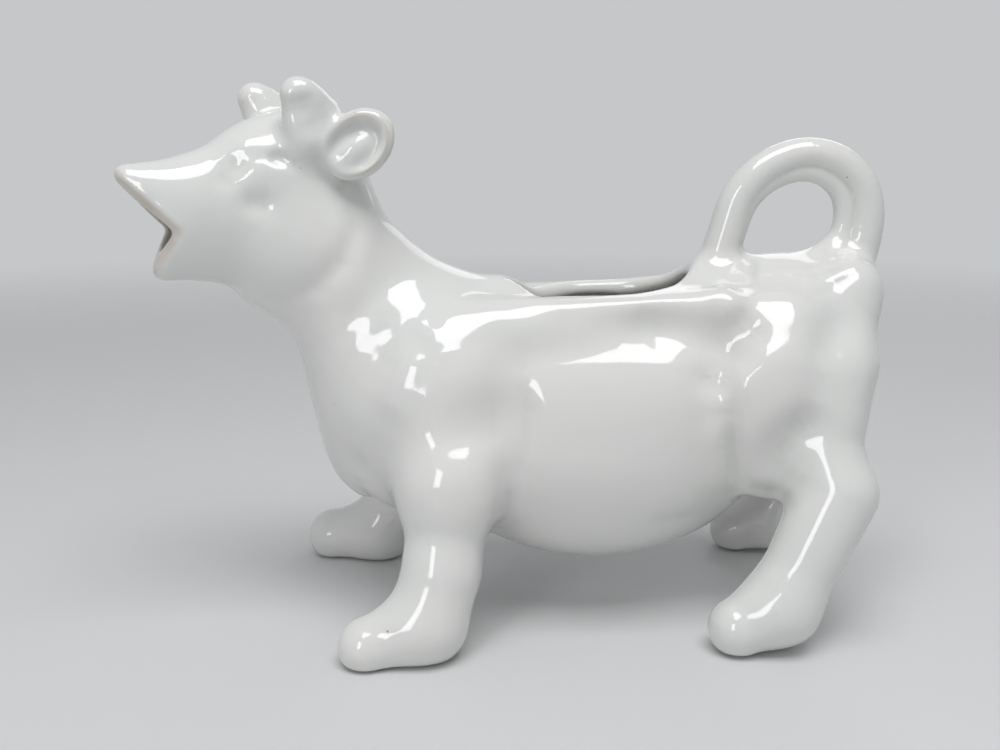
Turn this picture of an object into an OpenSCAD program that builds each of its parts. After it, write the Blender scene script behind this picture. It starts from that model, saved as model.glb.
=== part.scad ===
// Cow creamer: a hollow cast jug in the shape of a standing cow.
// It is filled through the opening in the back, poured from the open mouth
// and lifted by the tail, which curls into a finger loop over the rump.
// The cow stands on the plane z = 0 and faces -X. Its left side is at -Y.

/* [Body] */
// Length of the body, from the front of the chest to the back of the rump
body_l = 120; // [112:1:128]
// Greatest width of the body, over the barrel
body_w = 54; // [50:1:60]
// Height of the back above the ground
back_h = 72; // [69:1:76]
// Thickness of the cast wall
wall = 3; // [2.4:0.2:3.4]
// Length of the barrel between the chest and the rump
barrel_l = 80; // [74:1:86]
// Height of the barrel, from the belly to the back
barrel_h = 58; // [54:1:60]
// Length of the chest
chest_l = 55; // [50:1:60]
// Width of the chest
chest_w = 48; // [44:1:52]
// Depth of the chest
chest_h = 52; // [48:1:56]
// Length of the rump
rump_l = 49; // [46:1:53]
// Width of the rump
rump_w = 44; // [40:1:48]
// Depth of the rump
rump_h = 49; // [46:1:51]
// Length of the flat croup on top of the rump
croup_l = 30; // [28:1:33]
// Width of the croup
croup_w = 35; // [31:1:38]
// Depth of the croup
croup_h = 25; // [23:1:27]
// Radius of the ridge along each side of the back, where it leaves the shoulder
ridge_r = 6; // [5.2:0.1:6.8]

/* [Back opening] */
// Length of the filling opening
opening_l = 40; // [34:1:43]
// Width of the filling opening
opening_w = 25; // [21:1:27]
// Radius of the rounded rim round the opening
rim_r = 1.5; // [1.2:0.1:1.7]

/* [Neck] */
// Radius of the neck where it leaves the chest
neck_base_r = 20; // [18:0.5:22]
// Radius of the neck behind the jaw
neck_top_r = 13.6; // [12.6:0.2:14.4]

/* [Head] */
// Angle that the head is turned to the cow's left
head_turn = 24; // [10:1:30]
// Length of the head, from the upper lip to the back of the skull
head_l = 50; // [47:1:53]
// Length of the skull
skull_l = 30; // [28:1:32]
// Width of the skull
skull_w = 23; // [21:1:25]
// Depth of the skull
skull_h = 24; // [22:1:26]
// Width across the cheeks
cheek_w = 24; // [22:1:26]
// Depth of the cheeks, from the eye to the jaw
cheek_h = 38; // [35:1:40]
// Length of the muzzle
muzzle_l = 34; // [32:1:36]
// Width of the muzzle
muzzle_w = 18; // [16:1:20]
// Depth of the muzzle at the mouth
muzzle_h = 22; // [20:1:24]
// Angle of the upper lip's cut above the level of the mouth corner
gape_up = 45; // [41:1:49]
// Angle of the lower lip's cut below the level of the mouth corner
gape_down = 60; // [54:1:64]
// Radius of the eyeball
eye_r = 2.4; // [2:0.1:2.8]
// Radius of the brow ridge
brow_r = 1.3; // [1:0.1:1.6]

/* [Horns and ears] */
// Radius of a horn at its root
horn_root_r = 5.4; // [5:0.1:6]
// Radius of a horn at its tip
horn_tip_r = 3.4; // [3:0.1:3.8]
// Height of a horn, from the middle of its root to its tip
horn_h = 12.6; // [11:0.2:13.4]
// Angle that the horns and ears are turned beyond the head
crown_twist = 10; // [0:1:14]
// Length of an ear
ear_l = 17.4; // [16:0.2:18.6]
// Width of an ear
ear_w = 13; // [11.6:0.2:14]
// Thickness of an ear
ear_t = 6.4; // [5.6:0.2:7]

/* [Legs] */
// Distance between the centres of the left and right hooves
track_w = 56; // [52:1:60]
// Radius of a front leg at the ankle
front_ankle_r = 7.2; // [6.6:0.1:7.8]
// Radius of a front leg at the elbow
elbow_r = 10.4; // [9.4:0.1:11.4]
// Radius of a hind leg at the ankle
hind_ankle_r = 7.2; // [6.6:0.1:7.8]
// Radius of a hind leg at the hock
hock_r = 8.2; // [7.6:0.1:8.8]
// Radius of the toe of a hoof
toe_r = 6; // [5.4:0.1:6.6]
// Length of a hoof in front of the ankle
hoof_l = 13; // [11:0.5:15]
// Length of the thigh, along the body
thigh_l = 32; // [29:1:35]
// Width of the thigh
thigh_w = 20; // [18:1:22]
// Height of the thigh
thigh_h = 44; // [40:1:46]
// Distance that the right front hoof stands ahead of the left one
front_stride = 14.5; // [8:0.5:17]
// Distance that the right hind hoof stands behind the left one
hind_stride = 14; // [8:0.5:16]
// Distance that the front hooves are set over to the left
front_sway = 3.6; // [0:0.2:4]
// Distance that the hind hooves are set over to the left
hind_sway = 0.8; // [0:0.2:2]

/* [Tail] */
// Length of the tail loop, measured over its centre line
loop_l = 29.1; // [27.5:0.1:31]
// Height of the tail loop's centre line above the back
loop_h = 28.4; // [26:0.2:31]
// Radius of the tail where it leaves the back
tail_r = 4; // [3.6:0.1:4.4]
// Radius of the tail where it comes down on the croup
tail_end_r = 5.4; // [5:0.1:5.8]

/* [Hidden] */
glaze = [0.9, 0.91, 0.91];

// The front hooves stand farther out on the left, so the creamer's middle is set over by this much
middle_y = front_sway * 0.57;
// Length that a cut runs past what it cuts
over = 2;
// Smallest distance that a division can meet
tiny = 0.0001;
// Steps that bring a ray onto the skin
solve_steps = 6;
// Share of the distance to the skin that each step takes
step_share = 0.97;

// Softness of the joins between the big masses of the body
body_blend = 8;
// Softness of the join between the head and the neck
head_blend = 7;
// Softness of the joins within the face and along the back
small_blend = 5;
// Softness of the join between a leg and the body
leg_blend = 6;
// Softness of the join between the tail and the body
tail_blend = 4;
// Farthest that a join spreads over the body beside a leg or the tail
flare = 2.4;

// A place in the body, in shares of its length, width and back height
function at(share) = [share.x * body_l, share.y * body_w, share.z * back_h];
// A place in the head, in shares of its length, width and depth
function in_head(share) = [share.x * head_l, share.y * cheek_w, share.z * cheek_h];

head_at_share = [-0.396, -0.065, 1.278];
head_at = at(head_at_share);
function turned(p) = [p.x * cos(head_turn) - p.y * sin(head_turn),
                      p.x * sin(head_turn) + p.y * cos(head_turn), p.z];
function from_head(q) = head_at + turned(q);
function to_head(p) = let (d = p - head_at)
    [d.x * cos(head_turn) + d.y * sin(head_turn), d.y * cos(head_turn) - d.x * sin(head_turn), d.z];

// Masses: an egg has a centre, a size, a pitch and a blend; a rod has two ends and their radii
function egg(c, size, pitch, blend) = [0, c, size / 2, pitch, blend];
function rod(a, b, ra, rb, blend) = [1, a, b, [ra, rb], blend];

function clamp(v) = max(0, min(1, v));
function smin(a, b, k) = let (h = clamp(0.5 + 0.5 * (b - a) / k)) b + (a - b) * h - k * h * (1 - h);
function pitched(q, a) = a == 0 ? q : [q.x * cos(a) - q.z * sin(a), q.y, q.x * sin(a) + q.z * cos(a)];
function egg_d(p, m) = let (q = pitched(p - m[1], m[3]), r = m[2], u = [q.x / r.x, q.y / r.y, q.z / r.z],
    k0 = norm(u), k1 = norm([u.x / r.x, u.y / r.y, u.z / r.z])) k0 * (k0 - 1) / max(k1, tiny);
function rod_d(p, m) = let (d = m[2] - m[1], h = clamp(((p - m[1]) * d) / (d * d)))
    norm(p - m[1] - h * d) - (m[3][0] + (m[3][1] - m[3][0]) * h * h * (3 - 2 * h));
function mass_d(p, m) = m[0] == 0 ? egg_d(p, m) : rod_d(p, m);
function masses_d(p, list, i = 1, d = undef) = i >= len(list) ? d
    : masses_d(p, list, i + 1, smin(d, mass_d(p, list[i]), list[i][4]));
function all_d(p, list) = masses_d(p, list, 1, mass_d(p, list[0]));

// Torso: centres in shares of the body, sizes from the named values
withers_r = 9.5;
rump_corner_r = 6.2;
back_t = 25;
back_slope = -4;
barrel_at_share = [0.117, 0, 0.556];
chest_at_share = [-0.167, 0, 0.646];
rump_at_share = [0.417, 0, 0.75];
flank_at_share = [0.15, 0.233, 0.708];
croup_at_share = [0.493, 0, 0.917];
back_at_share = [0.117, 0, 0.842];
ridge_front_share = [-0.115, 0.24, 0.897];
ridge_back_share = [0.317, 0.278, 0.958];
loin_front_share = [0.3, 0, 0.953];
loin_back_share = [0.48, 0, 0.961];
withers_front_share = [-0.19, 0, 0.915];
withers_back_share = [-0.045, 0, 0.912];
rump_corner_share = [0.572, 0.119, 1.006];
rump_side_share = [0.547, 0.222, 0.8125];
loin_at_share = [0.258, 0, 0.897];
brisket_at_share = [-0.275, -0.02, 0.507];
neck_base_share = [-0.233, 0, 0.75];
neck_top_share = [-0.392, -0.059, 1.118];
crest_share = [[-0.335, -0.063, 1.214], [-0.283, -0.028, 1.056], [-0.175, 0, 0.917]];
crest_radii = neck_top_r * [0.485, 0.63, 0.706];
function mirrored(share, side) = [share.x, side * share.y, share.z];
torso = [egg(at(barrel_at_share), [barrel_l, body_w, barrel_h], 0, body_blend),
    egg(at(chest_at_share), [chest_l, chest_w, chest_h], 0, body_blend),
    egg(at(rump_at_share), [rump_l, rump_w, rump_h], 0, body_blend),
    for (side = [-1, 1]) egg(at(mirrored(flank_at_share, side)),
        [barrel_l * 0.875, body_w * 0.444, barrel_h * 0.517], 0, small_blend),
    egg(at(croup_at_share), [croup_l, croup_w, croup_h], 0, small_blend),
    egg(at(back_at_share), [barrel_l, croup_w, back_t], back_slope, small_blend),
    for (side = [-1, 1]) rod(at(mirrored(ridge_front_share, side)), at(mirrored(ridge_back_share, side)),
        ridge_r, ridge_r * 0.77, small_blend),
    rod(at(loin_front_share), at(loin_back_share), withers_r * 0.9, withers_r, small_blend),
    rod(at(withers_front_share), at(withers_back_share), withers_r, withers_r, small_blend),
    egg(at(loin_at_share), [barrel_l * 0.425, rump_w * 0.705, back_t * 0.88], 0, small_blend),
    rod(at(mirrored(rump_corner_share, -1)), at(rump_corner_share), rump_corner_r, rump_corner_r, small_blend),
    for (side = [-1, 1]) rod(at(mirrored(rump_corner_share, side)), at(mirrored(rump_side_share, side)),
        rump_corner_r, rump_corner_r * 1.03, small_blend),
    egg(at(brisket_at_share), [chest_l * 0.455, chest_w / 2, chest_h * 0.442], 0, small_blend),
    rod(at(neck_base_share), at(neck_top_share), neck_base_r, neck_top_r, body_blend),
    for (i = [0, 1]) rod(at(crest_share[i]), at(crest_share[i + 1]), crest_radii[i], crest_radii[i + 1],
        small_blend)];

// Head: the skull, forehead, cheeks, muzzle and the two lips
brow_l = 31;
brow_slope = -27;
lip_r = 5;
upper_lip_r = 2.8;
lower_lip_r = 3.4;
skull_at_share = [-0.06, 0, 0.16];
forehead_at_share = [-0.28, 0, 0.116];
cheek_at_share = [-0.14, 0, -0.13];
muzzle_at_share = [-0.42, 0, -0.1];
upper_lip_share = [[-0.48, 0, 0.063], [-0.744, 0, 0.116]];
lower_lip_share = [[-0.44, 0, -0.27], [-0.612, 0, -0.326]];
head = [egg(in_head(skull_at_share), [skull_l, skull_w, skull_h], 0, small_blend),
    egg(in_head(cheek_at_share), [skull_l, cheek_w, cheek_h], 0, small_blend),
    egg(in_head(forehead_at_share), [brow_l, muzzle_w, muzzle_w * 1.05], brow_slope, small_blend),
    egg(in_head(muzzle_at_share), [muzzle_l, muzzle_w, muzzle_h], 0, small_blend),
    rod(in_head(upper_lip_share[0]), in_head(upper_lip_share[1]), lip_r, upper_lip_r, small_blend),
    rod(in_head(lower_lip_share[0]), in_head(lower_lip_share[1]), lip_r, lower_lip_r, small_blend)];

// The whole body without its limbs, as one field
body_field = function (p) smin(all_d(p, torso), all_d(to_head(p), head), head_blend);

// A ray meets the skin of a field at a depth, no farther out than where it starts
function solve(field, p, u, far, depth = 0, i = solve_steps, t = undef) = let (now = is_undef(t) ? far : t)
    i == 0 ? now
    : solve(field, p, u, far, depth, i - 1, max(tiny, min(far, now - step_share * (field(p + now * u) + depth))));

// Spines: each station has a place, a heading, a tilt of its rays and a reach
function lerp(a, b, t) = a + (b - a) * t;
function unit(v) = v / max(norm(v), tiny);
function smooth_at(list, s) = let (n = len(list) - 1, i = min(n - 1, floor(s)), t = s - i,
    p0 = list[max(0, i - 1)], p1 = list[i], p2 = list[i + 1], p3 = list[min(n, i + 2)])
    0.5 * (2 * p1 + (p2 - p0) * t + (2 * p0 - 5 * p1 + 4 * p2 - p3) * t * t
        + (3 * p1 - p0 - 3 * p2 + p3) * t * t * t);
function stations(places, headings, reaches, rings, cap) = let (n = len(places) - 1) concat(
    [for (i = [cap : -1 : 1]) [places[0], unit(headings[0]), -90 * i / cap, reaches[0]]],
    [for (i = [0 : rings]) let (s = n * i / rings)
        [smooth_at(places, s), unit(smooth_at(headings, s)), 0, smooth_at(reaches, s)]],
    [for (i = [1 : cap]) [places[n], unit(headings[n]), 90 * i / cap, reaches[n]]]);
// Directions of the rays round a heading, in even steps and leaning by the tilt
function ray(heading, angle, tilt) = let (side = unit(cross(heading, [0, 1, 0])), up = cross(side, heading))
    cos(tilt) * (cos(angle) * side + sin(angle) * up) + sin(tilt) * heading;
function rows(field, list, n, depth) = [for (st = list)
    [for (j = [0 : n - 1]) let (u = ray(st[1], 360 * j / n, st[2]))
        st[0] + solve(field, st[0], u, st[3], depth) * u]];
function ring_faces(rings, n) = concat(
    [for (j = [0 : n - 1]) [0, 1 + (j + 1) % n, 1 + j]],
    [for (i = [0 : rings - 2], j = [0 : n - 1]) let (a = 1 + i * n + j, b = 1 + i * n + (j + 1) % n)
        each [[a, b, a + n], [b, b + n, a + n]]],
    [for (j = [0 : n - 1]) let (a = 1 + (rings - 1) * n) [a + j, a + (j + 1) % n, a + n]]);
// A closed skin: one pole, the rings of points and the other pole
module skin(rows, n) {
    polyhedron(points = concat([rows[0][0]], [for (i = [1 : len(rows) - 2]) each rows[i]],
        [rows[len(rows) - 1][0]]), faces = ring_faces(len(rows) - 2, n), convexity = 12);
}

spine_share = [[0.44, 0, 0.74], [0.28, 0, 0.64], [0.1, 0, 0.6], [-0.08, 0, 0.62], [-0.2, 0, 0.7],
    [-0.3, -0.02, 0.86], [-0.375, -0.045, 1.05]];
head_spine_share = [[-0.1, 0, -0.03], [-0.3, 0, -0.07], [-0.52, 0, -0.09]];
body_places = concat([for (share = spine_share) at(share)],
    [for (share = head_spine_share) from_head(in_head(share))]);
// Headings along the spine: the first turn of each row is down from level, the second to the left
spine_turn_share = [[0, 0], [0, 0], [0, 0], [0.06, 0], [0.3, 0], [0.54, 0.1], [0.46, 0.4], [0.24, 0.8],
    [0.06, 1], [0, 1]];
body_headings = [for (turn = spine_turn_share) let (lift = 90 * turn[0], yaw = head_turn * turn[1])
    [-cos(lift) * cos(yaw), -cos(lift) * sin(yaw), sin(lift)]];
reach_share = [0.55, 0.58, 0.58, 0.58, 0.52, 0.4, 0.34, 0.38, 0.34, 0.34];
body_reaches = [for (share = reach_share) share * back_h];
function body_rows(rings, cap, n, depth) =
    rows(body_field, stations(body_places, body_headings, body_reaches, rings, cap), n, depth);
outer_sides = 44;
inner_sides = 28;
outer_rows = body_rows(50, 6, outer_sides, 0);
module body_skin() {
    skin(outer_rows, outer_sides);
}

// The filling opening is an oval, and its rim follows the back
opening_at_share = [0.121, 0, 0];
opening_at = at(opening_at_share);
opening_floor = back_h - barrel_h / 4;
function rim_point(a) = let (q = opening_at + [cos(a) * opening_l / 2, sin(a) * opening_w / 2, opening_floor])
    q + [0, 0, solve(body_field, q, [0, 0, 1], barrel_h / 2, 0) - rim_r];
rim_points = 26;
module rim() {
    for (i = [0 : rim_points - 1]) {
        hull() {
            translate(rim_point(360 * i / rim_points)) sphere(rim_r, $fn = 8);
            translate(rim_point(360 * (i + 1) / rim_points)) sphere(rim_r, $fn = 8);
        }
    }
}

// The brows and eyes are set on the skin of the face
brow_share = [[-0.39, 0.205], [-0.27, 0.265], [-0.16, 0.235]];
eye_share = [-0.278, 0.173];
function on_face(share, side) = let (c = from_head(in_head([share[0], 0, share[1]])), u = turned([0, side, 0]))
    c + (solve(body_field, c, u, cheek_w, 0) - brow_r * 0.6) * u;
module face() {
    for (side = [-1, 1]) {
        for (i = [0 : 1]) {
            hull() {
                translate(on_face(brow_share[i], side)) sphere(brow_r, $fn = 12);
                translate(on_face(brow_share[i + 1], side)) sphere(brow_r, $fn = 12);
            }
        }
        translate(on_face(eye_share, side) - turned([0, side * eye_r * 0.4, 0])) sphere(eye_r, $fn = 16);
    }
}
// What the luted pieces are seated on
module outer_form() {
    body_skin();
    rim();
    face();
}

mouth_share = [-0.552, 0, -0.16];
mouth_cut = head_l / 2;
module mouth_gap() {
    translate(head_at) rotate([0, 0, head_turn]) translate(in_head(mouth_share)) rotate([90, 0, 0])
        linear_extrude(cheek_w + over, center = true) polygon([[0, 0],
            [-mouth_cut * cos(gape_up), mouth_cut * sin(gape_up)], [-mouth_cut * 1.5, 0],
            [-mouth_cut * cos(gape_down), -mouth_cut * sin(gape_down)]]);
}
module in_middle() {
    translate([0, middle_y, 0]) children();
}
module body_shell() {
    color(glaze) in_middle() difference() {
        union() {
            difference() {
                body_skin();
                translate([opening_at.x, 0, opening_floor]) scale([opening_l, opening_w, 1])
                    cylinder(d = 1, h = barrel_h, $fn = 48);
            }
            rim();
            face();
        }
        skin(body_rows(36, 5, inner_sides, wall), inner_sides);
        mouth_gap();
    }
}

// A limb is a chain of masses whose skin is solved from its own spine and spreads where it joins
module limb(masses, places, headings, reaches, rings, cap, n, blend) {
    own = function (p) all_d(p, masses);
    joined = function (p) smin(all_d(p, masses), body_field(p), blend);
    list = stations(places, headings, reaches, rings, cap);
    skin([for (st = list) [for (j = [0 : n - 1]) let (u = ray(st[1], 360 * j / n, st[2]))
        st[0] + solve(joined, st[0], u, solve(own, st[0], u, st[3]) + flare) * u]], n);
}
module above_ground(x) {
    translate([x - body_l / 2, -body_w, 0]) cube([body_l, 2 * body_w, 2 * back_h]);
}
// A place on a leg: its x and z are shares of the body, its y is a share of the track
function on_leg(share, side, shift, sway = 0) =
    [share.x * body_l + shift, side * share.y * track_w - sway, share.z * back_h];
module front_leg(side, stride) {
    shoulder = on_leg([-0.15, 0.25, 0.72], side, 0);
    elbow = on_leg([-0.152, 0.39, 0.47], side, -stride * 0.2);
    ankle = on_leg([-0.166, 0.473, 0.236], side, -stride * 0.8, front_sway * 0.3);
    heel = on_leg([-0.192, 0.498, 0.097], side, -stride, front_sway * 0.8);
    toe = heel + [-hoof_l * 0.92, side * hoof_l * 0.16 - front_sway * 0.2, stride * 0.11 - hoof_l * 0.27];
    masses = [rod(shoulder, elbow, elbow_r * 1.25, elbow_r, small_blend),
        rod(elbow, ankle, elbow_r, front_ankle_r, small_blend),
        rod(ankle, heel, front_ankle_r, front_ankle_r * 1.03, small_blend),
        rod(heel, toe, front_ankle_r * 1.03, toe_r + stride * 0.04, small_blend)];
    intersection() {
        limb(masses, [shoulder, elbow, ankle, heel, toe],
            [[0, side * 0.3, -1], [-0.1, side * 0.2, -1], [-0.2, side * 0.1, -1], [-1, 0, -0.8],
            [-1, 0, -0.1]],
            elbow_r * [1.6, 1.5, 1.3, 1.3, 1.3], 20, 5, 24, leg_blend);
        above_ground(0);
    }
}
module hind_leg(side, stride) {
    thigh = on_leg([0.425, 0.3, 0.7], side, stride * 0.2);
    stifle = on_leg([0.503, 0.354, 0.569], side, stride * 0.4);
    hock = on_leg([0.523, 0.439, 0.446], side, stride * 0.8);
    ankle = on_leg([0.423, 0.496, 0.125], side, stride, hind_sway);
    toe = ankle + [-hoof_l * 0.71, side * hoof_l * 0.11, -hoof_l * 0.32];
    masses = [egg(thigh, [thigh_l, thigh_w, thigh_h], -8, small_blend),
        rod(on_leg([0.525, 0.275, 0.778], side, stride * 0.2), stifle, hock_r * 1.07, hock_r, small_blend),
        rod(hock, ankle, hock_r, hind_ankle_r, small_blend),
        rod(ankle, toe, hind_ankle_r, toe_r * 1.03, small_blend)];
    intersection() {
        limb(masses, [thigh, stifle, hock, ankle, toe],
            [[0.2, side * 0.2, -1], [0.3, side * 0.3, -1], [-0.1, side * 0.2, -1], [-0.8, 0, -1],
            [-1, 0, -0.3]],
            hock_r * [3.2, 2.6, 1.7, 1.5, 1.5], 24, 6, 28, leg_blend);
        above_ground(body_l / 2);
    }
}
module front_leg_left() {
    color(glaze) in_middle() difference() {
        front_leg(-1, 0);
        outer_form();
    }
}
module front_leg_right() {
    color(glaze) in_middle() difference() {
        front_leg(1, front_stride);
        outer_form();
    }
}
module hind_leg_left() {
    color(glaze) in_middle() difference() {
        hind_leg(-1, 0);
        outer_form();
    }
}
module hind_leg_right() {
    color(glaze) in_middle() difference() {
        hind_leg(1, hind_stride);
        outer_form();
    }
}

// Horns: a tapered point, with a lower shoulder behind it that runs down to the ear
horn_root_share = [-0.084, 0.367, 0.305];
horn_back_share = [0.028, 0.342, 0.3];
module on_crown() {
    translate(head_at) rotate([0, 0, head_turn + crown_twist]) children();
}
module horn(side) {
    root = in_head(mirrored(horn_root_share, side));
    back = in_head(mirrored(horn_back_share, side));
    tip = root + [-horn_h * 0.254, side * horn_h * 0.167, horn_h - horn_tip_r];
    on_crown() {
        hull() {
            translate(root) sphere(horn_root_r, $fn = 20);
            translate(tip) sphere(horn_tip_r, $fn = 16);
            translate(lerp(root, back, 0.6)) sphere(horn_root_r, $fn = 16);
        }
        hull() {
            translate(back) sphere(horn_root_r * 0.89, $fn = 16);
            translate(back + [-horn_h * 0.206, side * horn_h * 0.095, horn_h * 0.413])
                sphere(horn_tip_r * 0.88, $fn = 16);
            translate(lerp(root, back, 0.6)) sphere(horn_root_r * 0.9, $fn = 16);
        }
    }
}
module horn_left() {
    color(glaze) in_middle() difference() {
        horn(-1);
        outer_form();
    }
}
module horn_right() {
    color(glaze) in_middle() difference() {
        horn(1);
        outer_form();
    }
}

// Ears: a flat egg with a hollow in the side that faces out
ear_at_share = [0.052, 0.667, 0.284];
ear_yaw = 35;
ear_pitch = -42;
module ear(side) {
    c = in_head(mirrored(ear_at_share, side));
    difference() {
        on_crown() translate(c) rotate([0, ear_pitch, side * ear_yaw]) difference() {
            scale([ear_l, ear_t, ear_w] / 2) sphere(1, $fn = 20);
            translate([-ear_l * 0.03, side * ear_t * 0.44, ear_w * 0.02])
                scale([ear_l * 0.37, ear_t * 0.46, ear_w * 0.38]) sphere(1, $fn = 20);
        }
        horn(side);
    }
}
module ear_left() {
    color(glaze) in_middle() difference() {
        ear(-1);
        outer_form();
    }
}
module ear_right() {
    color(glaze) in_middle() difference() {
        ear(1);
        outer_form();
    }
}

// The tail rises from the end of the opening, loops over and comes down on the croup
tail_at_share = [0.36, 0, 1];
tail_share = [[-0.2, -0.14], [-0.09, 0.16], [0, 0.46], [0.07, 0.68], [0.204, 0.852], [0.393, 0.965],
    [0.596, 1], [0.8, 0.937], [0.951, 0.782], [1, 0.581], [0.975, 0.34], [0.9, 0.12], [0.84, -0.1]];
tail_rings = 40;
tail_sides = 16;
module tail_handle() {
    places = [for (share = tail_share) at(tail_at_share) + [share[0] * loop_l, 0, share[1] * loop_h]];
    n = len(places) - 1;
    headings = [for (i = [0 : n]) unit(places[min(n, i + 1)] - places[max(0, i - 1)])];
    rows = [for (i = [-1 : tail_rings + 1]) let (s = n * max(0, min(tail_rings, i)) / tail_rings,
        c = smooth_at(places, s), u = unit(smooth_at(headings, s)),
        root = clamp(1 - s * 0.45) + clamp(1 - (n - s) * 0.45),
        r = i < 0 || i > tail_rings ? tiny : lerp(tail_r, tail_end_r, s / n) + root * tail_blend)
        [for (j = [0 : tail_sides - 1]) c + r * ray(u, 360 * j / tail_sides, 0)]];
    color(glaze) in_middle() difference() {
        skin(rows, tail_sides);
        outer_form();
    }
}

body_shell();
front_leg_left();
front_leg_right();
hind_leg_left();
hind_leg_right();
horn_left();
horn_right();
ear_left();
ear_right();
tail_handle();
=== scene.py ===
"""A cow creamer in white glazed porcelain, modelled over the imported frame.

The cow is one field of smooth masses in millimetres. Strokes raise and hollow its skin, the
milk chamber and the mouth are cut out of it, and the skin is meshed once, so that the glaze
runs without a break over the seams between the pieces. A field takes points as the columns
of an array p of single floats, and gives the distance to its skin, below zero inside.
"""
import math
import bpy
import numpy as np
from mathutils import Euler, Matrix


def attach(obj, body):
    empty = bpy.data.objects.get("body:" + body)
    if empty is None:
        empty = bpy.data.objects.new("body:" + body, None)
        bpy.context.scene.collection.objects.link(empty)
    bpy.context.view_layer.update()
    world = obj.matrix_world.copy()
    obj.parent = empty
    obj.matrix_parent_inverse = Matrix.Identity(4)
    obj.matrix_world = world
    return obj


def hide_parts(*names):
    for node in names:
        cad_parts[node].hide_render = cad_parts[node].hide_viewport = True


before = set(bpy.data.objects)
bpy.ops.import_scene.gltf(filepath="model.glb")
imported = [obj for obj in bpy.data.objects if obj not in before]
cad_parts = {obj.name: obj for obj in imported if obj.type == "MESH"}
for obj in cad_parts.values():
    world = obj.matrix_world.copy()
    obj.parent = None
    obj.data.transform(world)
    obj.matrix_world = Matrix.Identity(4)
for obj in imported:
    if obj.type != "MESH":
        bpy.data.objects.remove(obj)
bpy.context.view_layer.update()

# The photograph's size and the camera fitted to it, in pixels, millimetres and degrees
PHOTO_W, PHOTO_H = 1000, 750
FOCAL_PX = 1010
SENSOR_MM = 36
CAMERA_AT = (-13, -224, 99)
CAMERA_PITCH = 11.7
CAMERA_YAW = 1.5

# Driving dimensions, in millimetres and degrees
MM = 0.001
WALL = 3.0
HEAD_AT = (-47.5, -3.5, 92)
HEAD_TURN = 24
CROWN_TWIST = 10
FRONT_STRIDE = 14.5
HIND_STRIDE = 14
FRONT_SWAY = 3.6
HIND_SWAY = 0.8
# The front hooves sway to the left, so the frame's middle lies this far from the body's own
MIDDLE_Y = 2.052

# How softly masses melt together, in millimetres
BODY_BLEND = 8
HEAD_BLEND = 7
LEG_BLEND = 6
SMALL_BLEND = 5
TAIL_BLEND = 4
HORN_BLEND = 2.4
SOLE_BLEND = 1.2
CUT_BLEND = 1.2

# The cow's left and right, as signs of Y
SIDES = (-1, 1)
# A mass counts within this margin round it. Farther out, a field gives one large distance, and
# a limb is left out where its own field is above the last of these
MARGIN = 6.0
FAR = 40
LEFT_OUT = 30


def turn(yaw=0, pitch=0, roll=0):
    """The rotation by roll, then pitch, then yaw, as a matrix."""
    return np.array(Euler([math.radians(v) for v in (roll, pitch, yaw)]).to_matrix())


HEAD_R = turn(HEAD_TURN)
CROWN_R = turn(CROWN_TWIST)


def from_head(point):
    """A place in the head's own frame, which faces -X, as a place in the body's."""
    return tuple(np.array(HEAD_AT) + HEAD_R @ np.array(point, float))


def to_head(p):
    """Points of the body's frame in the head's own."""
    return HEAD_R.T.astype(np.float32) @ (p - column(HEAD_AT))


def to_frame(points):
    """Places of the sculpture, in millimetres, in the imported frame, in metres."""
    return (np.array(points, float) + (0, MIDDLE_Y, 0)) * MM


def column(point):
    """A point as a column of single floats."""
    return np.array(point, np.float32).reshape(3, 1)


def egg(centre, size, blend=SMALL_BLEND, pitch=0, yaw=0, local=False):
    """An ellipsoid mass. A local one is placed in the head's own frame."""
    spin = turn(yaw, pitch)
    if local:
        centre, spin = from_head(centre), HEAD_R @ spin
    centre = column(centre)
    reach = max(size) / 2
    return {"centre": centre, "radii": column(size) / 2, "spin": spin.T.astype(np.float32),
            "blend": blend, "lo": centre - reach, "hi": centre + reach}


def rod(start, end, start_r, end_r, blend=SMALL_BLEND, local=False):
    """A mass like a round cone, from one ball to another."""
    if local:
        start, end = from_head(start), from_head(end)
    start, end = column(start), column(end)
    return {"start": start, "along": end - start, "radii": (float(start_r), float(end_r)),
            "blend": blend, "lo": np.minimum(start - start_r, end - end_r),
            "hi": np.maximum(start + start_r, end + end_r)}


def chain(points, radii, blend=SMALL_BLEND):
    """Rods from point to point."""
    return [rod(points[i], points[i + 1], radii[i], radii[i + 1], blend)
            for i in range(len(points) - 1)]


def pair(name, make):
    """A mass at the cow's left and its mirror image at the right."""
    return {name + "_left": make(-1), name + "_right": make(1)}


def size_of(v):
    return np.sqrt((v * v).sum(0))


def egg_distance(q, radii):
    """The distance to an ellipsoid at the origin, in any number of axes."""
    unit = q / radii
    size = size_of(unit)
    return size * (size - 1) / np.maximum(size_of(unit / radii), 1e-6)


def mass_distance(mass, p):
    """The distance to one mass. The radius of a rod eases from end to end."""
    if "centre" in mass:
        return egg_distance(mass["spin"] @ (p - mass["centre"]), mass["radii"])
    along = mass["along"]
    start_r, end_r = mass["radii"]
    q = p - mass["start"]
    share = np.clip((along * q).sum(0) / (along * along).sum(), 0, 1)
    eased = share * share * (3 - 2 * share)
    return size_of(q - share * along) - (start_r + (end_r - start_r) * eased)


def soft_min(a, b, blend):
    share = np.clip(0.5 + 0.5 * (b - a) / blend, 0, 1)
    return b + (a - b) * share - blend * share * (1 - share)


def soft_max(a, b, blend):
    return -soft_min(-a, -b, blend)


def soft_step(v, lo, hi):
    share = np.clip((v - lo) / (hi - lo), 0, 1)
    return share * share * (3 - 2 * share)


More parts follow.
